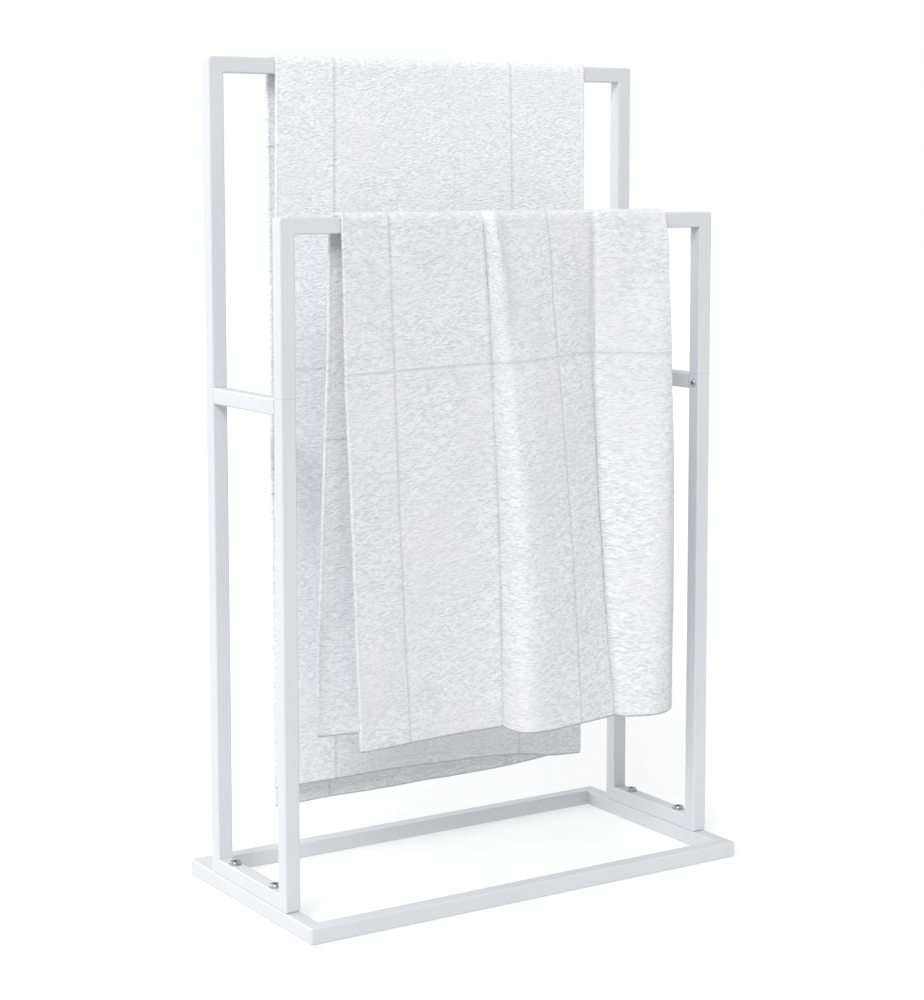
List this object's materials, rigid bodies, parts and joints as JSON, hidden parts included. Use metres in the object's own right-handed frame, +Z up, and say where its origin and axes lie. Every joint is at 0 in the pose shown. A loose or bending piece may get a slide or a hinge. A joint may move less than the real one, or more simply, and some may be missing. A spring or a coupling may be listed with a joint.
{
  "type": "free-standing towel rack",
  "caption": "Free-standing white towel rack: a low front bar and a tall rear bar on a bolted frame of square steel tube, each bar with a draped towel.",
  "frame": {"origin": "on the floor, midway between the sides and between the front and back of the floor frame", "axes": "+Z up, -Y the front (the lower bar's side), +X the right-hand side seen from the front"},
  "size_m": [0.48, 0.245, 0.7884],
  "materials": {
    "powder_coat": "white powder coat, satin, slightly cool",
    "bare_steel": "plain steel, hidden inside the uprights",
    "zinc_plate": "bright zinc plate",
    "terry": "white cotton terry with a thin grey woven grid"
  },
  "bodies": {
    "rack": {"base_front_rail": "powder_coat", "base_rear_rail": "powder_coat", "base_left_rail": "powder_coat", "base_right_rail": "powder_coat", "left_foot_tube": "powder_coat", "left_front_lower_upright": "powder_coat", "left_rear_lower_upright": "powder_coat", "left_link_tube": "powder_coat", "right_foot_tube": "powder_coat", "right_front_lower_upright": "powder_coat", "right_rear_lower_upright": "powder_coat", "right_link_tube": "powder_coat", "front_towel_bar": "powder_coat", "left_front_upper_upright": "powder_coat", "right_front_upper_upright": "powder_coat", "rear_towel_bar": "powder_coat", "left_rear_upper_upright": "powder_coat", "right_rear_upper_upright": "powder_coat", "left_front_spigot": "bare_steel", "left_rear_spigot": "bare_steel", "right_front_spigot": "bare_steel", "right_rear_spigot": "bare_steel", "leg_screws": "zinc_plate", "leg_nuts": "zinc_plate", "base_bolts": "zinc_plate", "base_washers": "zinc_plate", "base_nuts": "zinc_plate"},
    "towel_front": {"front_towel": "terry"},
    "towel_rear": {"rear_towel": "terry"}
  },
  "joints": [
    {"name": "front_towel_lift", "type": "slide", "parent": "rack", "child": "towel_front", "axis": [0, 0, 1], "range_m": [0, 0.5]},
    {"name": "rear_towel_lift", "type": "slide", "parent": "rack", "child": "towel_rear", "axis": [0, 0, 1], "range_m": [0, 0.73]}
  ]
}
